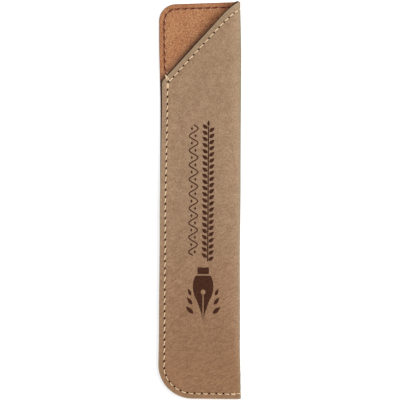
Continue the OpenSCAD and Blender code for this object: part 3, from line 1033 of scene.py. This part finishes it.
def stitch_tree():
    """One stitch on each point, laid from needle hole to needle hole and drawn down at both ends."""
    tree, given = new_tree("stitches", [
        ("Thread width", "NodeSocketFloat", 0.5 * MM),
        ("Flatness", "NodeSocketFloat", 0.8),
        ("Share of pitch", "NodeSocketFloat", 0.9),
        ("Twist turns", "NodeSocketFloat", 1.2),
        ("Dive", "NodeSocketFloat", 0.3 * MM),
        ("Seed", "NodeSocketInt", 7),
        ("Material", "NodeSocketMaterial", None),
    ])
    # One strand, as long as its share of a metre
    half = times(tree, given["Share of pitch"], 0.5)
    start = add(tree, "ShaderNodeCombineXYZ", {0: times(tree, half, -1.0)}).outputs[0]
    end = add(tree, "ShaderNodeCombineXYZ", {0: half}).outputs[0]
    line = add(tree, "GeometryNodeCurvePrimitiveLine", {"Start": start, "End": end}).outputs[0]
    line = add(tree, "GeometryNodeResampleCurve", {"Curve": line, "Count": 11}).outputs[0]
    factor = add(tree, "GeometryNodeSplineParameter").outputs["Factor"]
    from_middle = math_node(tree, "ABSOLUTE", math_node(tree, "SUBTRACT", times(tree, factor, 2.0), 1.0))
    taper = math_node(tree, "SUBTRACT", 1.0,
                      times(tree, math_node(tree, "POWER", from_middle, 3.0), 0.45))
    line = add(tree, "GeometryNodeSetCurveRadius", {"Curve": line, "Radius": taper}).outputs[0]
    line = twisted(tree, line, times(tree, factor, given["Twist turns"]))
    strand = strand_of(tree, line, given["Thread width"], taper)
    local = add(tree, "ShaderNodeSeparateXYZ", {0: add(tree, "GeometryNodeInputPosition").outputs[0]}).outputs
    share = math_node(tree, "DIVIDE", local[0], half)
    strand = add(tree, "GeometryNodeStoreNamedAttribute",
                 {"Geometry": strand, "Name": "share", "Value": share}, data_type="FLOAT").outputs[0]
    dip = times(tree, math_node(tree, "POWER", math_node(tree, "ABSOLUTE", share), 4.0), given["Dive"])
    lowered = math_node(tree, "SUBTRACT", times(tree, local[2], given["Flatness"]), dip)
    at = add(tree, "ShaderNodeCombineXYZ", {0: local[0], 1: local[1], 2: lowered}).outputs[0]
    strand = add(tree, "GeometryNodeSetPosition", {"Geometry": strand, "Position": at}).outputs[0]

    # The strand on every point, as long as that stitch, and then bowed to its side
    along = stored(tree, "along")
    turn = add(tree, "FunctionNodeAxesToRotation", {0: along, 1: stored(tree, "up")},
               primary_axis="X", secondary_axis="Z").outputs[0]
    long = add(tree, "ShaderNodeVectorMath", {0: along}, operation="LENGTH").outputs["Value"]
    swell = add(tree, "FunctionNodeRandomValue", {2: 0.9, 3: 1.1, "Seed": given["Seed"]},
                data_type="FLOAT").outputs[1]
    size = add(tree, "ShaderNodeCombineXYZ", {0: long, 1: swell, 2: swell}).outputs[0]
    laid = add(tree, "GeometryNodeInstanceOnPoints", {
        "Points": given["Geometry"], "Instance": strand, "Rotation": turn, "Scale": size}).outputs[0]
    laid = add(tree, "GeometryNodeRealizeInstances", {"Geometry": laid}).outputs[0]
    share = stored(tree, "share", "FLOAT")
    bow = math_node(tree, "SUBTRACT", 1.0, times(tree, share, share))
    aside = scaled_by(tree, stored(tree, "aside"), bow)
    laid = add(tree, "GeometryNodeSetPosition", {"Geometry": laid, "Offset": aside}).outputs[0]
    return finished(tree, laid, given["Material"])


def laid_thread_tree():
    """A twisted thread along each drawn line."""
    tree, given = new_tree("laid_thread", [
        ("Thread width", "NodeSocketFloat", 0.5 * MM),
        ("Twist length", "NodeSocketFloat", 2.4 * MM),
        ("Step", "NodeSocketFloat", 0.22 * MM),
        ("Material", "NodeSocketMaterial", None),
    ])
    line = add(tree, "GeometryNodeMeshToCurve", {"Mesh": given["Geometry"]}).outputs[0]
    line = add(tree, "GeometryNodeResampleCurve",
               {"Curve": line, "Length": given["Step"]}, mode="LENGTH").outputs[0]
    run = add(tree, "GeometryNodeSplineParameter").outputs["Length"]
    line = twisted(tree, line, math_node(tree, "DIVIDE", run, given["Twist length"]))
    return finished(tree, strand_of(tree, line, given["Thread width"]), given["Material"])


STITCHES = stitch_tree()
LAID_THREAD = laid_thread_tree()


def grown(name, mesh, tree, values):
    """Runs a geometry tree on a mesh and keeps the result as a plain mesh."""
    seed = piece(name + "_seed", mesh)
    modifier = seed.modifiers.new("grow", "NODES")
    modifier.node_group = tree
    for socket in tree.interface.items_tree:
        if socket.in_out == "INPUT" and socket.name in values:
            modifier[socket.identifier] = values[socket.name]
    seed.update_tag()
    view = bpy.context.evaluated_depsgraph_get()
    view.update()
    result = bpy.data.meshes.new_from_object(seed.evaluated_get(view))
    bpy.data.objects.remove(seed)
    result.name = name
    return result


def stitch_points(rows):
    """One point for each stitch. Each row is (middle, along, up, aside), in metres."""
    mesh = bpy.data.meshes.new("stitch_points")
    mesh.from_pydata([row[0] for row in rows], [], [])
    for k, name in enumerate(("along", "up", "aside"), 1):
        made = mesh.attributes.new(name, "FLOAT_VECTOR", "POINT")
        made.data.foreach_set("vector", [c for row in rows for c in row[k]])
    return mesh


def stitch_rows(seam, depth, facing=1, lean=0.0, bow=0.0):
    """Stitches from hole to hole of a seam, at a depth of the sheet. lean slants each one across the
    seam and bow pulls its middle to the side, both in millimetres."""
    rows = []
    for a, b in zip(seam, seam[1:]):
        middle = (a + b) / 2
        up = outward(middle.x, middle.y) * facing
        start, end = place(a.x, a.y, depth), place(b.x, b.y, depth)
        side = (end - start).cross(up).normalized() * MM
        rows.append(((start + end) / 2, end - start + side * lean, up, side * bow))
    return rows


def peeking_loops(seam, long=0.8, off=0.45, aside=-0.42):
    """Where the needle thread's loops show on the lining, just past each hole."""
    rows = []
    for a, b in zip(seam, seam[1:]):
        run = (b - a).normalized()
        start = a + run * off + left_of(run) * aside
        rows += stitch_rows([start, start + run * long], PANEL_T - 0.04, facing=-1)
    return rows


def halved(seam):
    """A seam's points with one more in the middle of each stitch."""
    return [p for a, b in zip(seam, seam[1:]) for p in (a, (a + b) / 2)] + seam[-1:]


def sewn(name, rows, material, width=0.56, share=0.86, flat=0.8, dive=0.6, turns=0.9, seed=7):
    """A mesh of stitches. width and dive are in millimetres."""
    return grown(name, stitch_points(rows), STITCHES, {
        "Thread width": width * MM, "Share of pitch": share, "Flatness": flat, "Dive": dive * MM,
        "Twist turns": turns, "Seed": seed, "Material": material})


def joined(name, meshes):
    """Several meshes as one piece."""
    objects = [piece(f"{name}_{k}", mesh) for k, mesh in enumerate(meshes)]
    with bpy.context.temp_override(active_object=objects[0], selected_editable_objects=objects):
        bpy.ops.object.join()
    objects[0].name = name
    return objects[0]


def laid(name, lines, width, material):
    """Twisted threads along lines of points in metres."""
    verts, edges = [], []
    for line in lines:
        start = len(verts)
        verts += line
        edges += [(start + i, start + i + 1) for i in range(len(line) - 1)]
    mesh = bpy.data.meshes.new(name)
    mesh.from_pydata(verts, edges, [])
    return grown(name, mesh, LAID_THREAD, {"Thread width": width * MM, "Twist length": 2.4 * MM,
                                           "Step": 0.22 * MM, "Material": material})


# How far under the outer face the middle of a thread lies, on the front, on the back and on the lining
ON_FRONT, ON_BACK, ON_LINING = -0.05, 0.22, PANEL_T - 0.02


def make_closing_needle_thread():
    turn = sum(1 for p in CLOSING_XY if p.y > CORNER.y)
    side = stitch_rows(CLOSING_FRONT[:turn + 1], ON_FRONT, lean=0.75)
    bottom = stitch_rows(CLOSING_FRONT[turn:], ON_FRONT, lean=0.15, bow=0.3)
    return joined("closing_needle_stitches", [
        sewn("closing_side", side, CREAM_THREAD, share=0.84),
        sewn("closing_bottom", bottom, CREAM_THREAD, width=0.46, share=0.8)])


def make_closing_bobbin_thread():
    rows = stitch_rows(CLOSING_BACK, ON_BACK)
    return piece("closing_bobbin_stitches",
                 sewn("closing_bobbin_stitches", rows, CREAM_THREAD, flat=0.6, dive=0.35, seed=11))


def make_edge_needle_thread():
    front = stitch_rows(MOUTH_SEAM, ON_FRONT, lean=0.2) + stitch_rows(FOLD_SEAM_FRONT, ON_FRONT)
    back = stitch_rows(FLAP_SEAM + FOLD_SEAM_BACK[1:], ON_BACK)
    loops = peeking_loops(FLAP_SEAM)
    return joined("edge_needle_stitches", [
        sewn("edge_front", front, CREAM_THREAD),
        sewn("edge_back", back, CREAM_THREAD, flat=0.6, dive=0.35, seed=13),
        sewn("edge_loops", loops, CREAM_THREAD, width=0.4, dive=0.25, turns=0.3, seed=19)])


def make_edge_bobbin_thread():
    """Brown thread that comes up twice a stitch on the flap, and once inside the mouth."""
    rows = stitch_rows(halved(INSIDE_SEAM), ON_LINING, facing=-1, lean=0.95)
    rows += stitch_rows(MOUTH_SEAM, ON_LINING, facing=-1)
    return piece("edge_bobbin_stitches",
                 sewn("edge_bobbin_stitches", rows, BROWN_THREAD, width=0.48, share=0.76, dive=0.4, seed=17))


def rounded(points, count=8):
    """A smooth line through points."""
    line = []
    ends = [2 * points[0] - points[1]] + points + [2 * points[-1] - points[-2]]
    for p0, p1, p2, p3 in zip(ends, ends[1:], ends[2:], ends[3:]):
        for i in range(count):
            t = i / count
            line.append(0.5 * (2 * p1 + (p2 - p0) * t + (2 * p0 - 5 * p1 + 4 * p2 - p3) * t * t
                               + (3 * p1 - p0 - 3 * p2 + p3) * t ** 3))
    return line + [points[-1]]


def make_mouth_tack():
    """Two strands over the lip, and a doubled stitch under them, where the closing seam starts."""
    sunk, raised = -0.5, 0.1
    lip_x, lip_y = -14.0, 49.7
    double_x, double_top, double_low = -13.3, 46.85, 44.7
    lines = []
    for off in (-0.26, 0.26):
        hole = TACK_HOLE + Vector((off * 0.5 - 0.1, 0.25))
        lip = Vector((lip_x + off * 0.45, lip_y))
        top = front_z(hole.x, hole.y)
        points = [settle(hole.x, hole.y, top + sunk), settle(hole.x - 0.2 + off, hole.y + 0.35, top + raised),
                  settle(lip.x + 0.2, lip.y - 0.25, top + 2 * raised),
                  settle(lip.x, lip.y + 0.12, top - raised),
                  settle(lip.x - 0.15, lip.y + 0.35, PANEL_T + 0.05)]
        lines.append(rounded(points))
    for off in (-0.18, 0.18):
        top = front_z(double_x + off, double_top)
        crossed = off / 2
        points = [settle(double_x + off - crossed, double_top, top + sunk),
                  settle(double_x + off + crossed, double_top - 0.35, top + raised),
                  settle(double_x - 0.05 + off + crossed, double_low + 0.35, top + raised),
                  settle(double_x - 0.05 + off - crossed, double_low, top + sunk)]
        lines.append(rounded(points))
    return piece("mouth_tack_strands", laid("mouth_tack_strands", lines, 0.5, CREAM_THREAD))


def make_base_tack():
    """Doubled thread where the closing seam ends, and one strand that wraps the fold."""
    y = -HALF_L + CLOSING_INSET
    r, cx = fold_r(y), fold_x(y)
    proud = 0.1
    stitch = ((12.45, 0, -0.3), (12.9, 0.7, 0.1), (13.4, 1, 0.12), (13.9, 0.7, 0.1), (14.5, 0, -0.3))
    lines = []
    for sag in (0.05, 0.5):
        lines.append([settle(x, y - sag * down, front_z(x, y) + lift) for x, down, lift in stitch])
    wrap = [(14.75, y + 0.05, 2 * r - 0.3), (cx + 0.1, y, 2 * r + 0.12)]
    for degrees in (60, 20, -15, -40):
        a = math.radians(degrees)
        wrap.append((cx + (r + proud) * math.cos(a), y, r + (r + proud) * math.sin(a)))
    lines.append([settle(*p) for p in wrap + [(cx, y, 0.3)]])
    return piece("base_tack_strands",
                 laid("base_tack_strands", [rounded(line) for line in lines], 0.4, CREAM_THREAD))


# ---- stage

def make_camera():
    """Straight above the case, with a long lens; 160 mm fill the frame."""
    data = bpy.data.cameras.new("camera")
    data.lens = 300
    data.sensor_width = 36
    data.clip_end = 20
    made = bpy.data.objects.new("camera", data)
    bpy.context.scene.collection.objects.link(made)
    seen = 160 * MM
    made.location = (0, 0, seen * data.lens / data.sensor_width + CASE_T / 2 * MM)
    bpy.context.scene.camera = made


def make_floor():
    """A pale floor just under the case."""
    half, z = 3.0, -0.2 * MM
    mesh = bpy.data.meshes.new("floor")
    corners = [(-half, -half, z), (half, -half, z), (half, half, z), (-half, half, z)]
    mesh.from_pydata(corners, [], [(0, 1, 2, 3)])
    made, tree, shader, _ = new_material("pale_floor")
    fill(tree, shader, {"Base Color": (0.85, 0.85, 0.85, 1), "Emission Color": (1, 1, 1, 1),
                        "Emission Strength": 0.5, "Roughness": 0.9, "Specular IOR Level": 0.0})
    mesh.materials.append(made)
    floor = piece("floor", mesh)


def area_light(name, at, size, power):
    """A soft light that faces the case."""
    data = bpy.data.lights.new(name, "AREA")
    data.size = size
    data.energy = power
    made = bpy.data.objects.new(name, data)
    bpy.context.scene.collection.objects.link(made)
    made.location = at
    made.rotation_mode = "QUATERNION"
    made.rotation_quaternion = (-Vector(at)).to_track_quat("-Z", "Y")


def make_light():
    area_light("key", (0.42, 0.1, 0.76), 0.4, 4.6)
    area_light("fill", (-0.5, 0.5, 0.8), 0.8, 1.6)
    world = bpy.data.worlds.new("studio")
    world.use_nodes = True
    fill(world.node_tree, world.node_tree.nodes["Background"], {"Color": (1, 1, 1, 1), "Strength": 0.55})
    bpy.context.scene.world = world
    bpy.context.scene.view_settings.view_transform = "Standard"


# ---- putting it together

make_camera()
make_floor()
make_light()

cover, cover_area = make_cover()
lining, lining_area = make_lining()
for made, node, material_slot in (
        (cover, "outer_cover", "leatherette"),
        (lining, "lining", "lining_suede"),
        (make_closing_needle_thread(), "closing_needle_thread", "cream_thread"),
        (make_closing_bobbin_thread(), "closing_bobbin_thread", "cream_thread"),
        (make_mouth_tack(), "mouth_tack", "cream_thread"),
        (make_base_tack(), "base_tack", "cream_thread"),
        (make_edge_needle_thread(), "edge_needle_thread", "cream_thread"),
        (make_edge_bobbin_thread(), "edge_bobbin_thread", "brown_thread")):
    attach(made, "root")
    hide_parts(node)
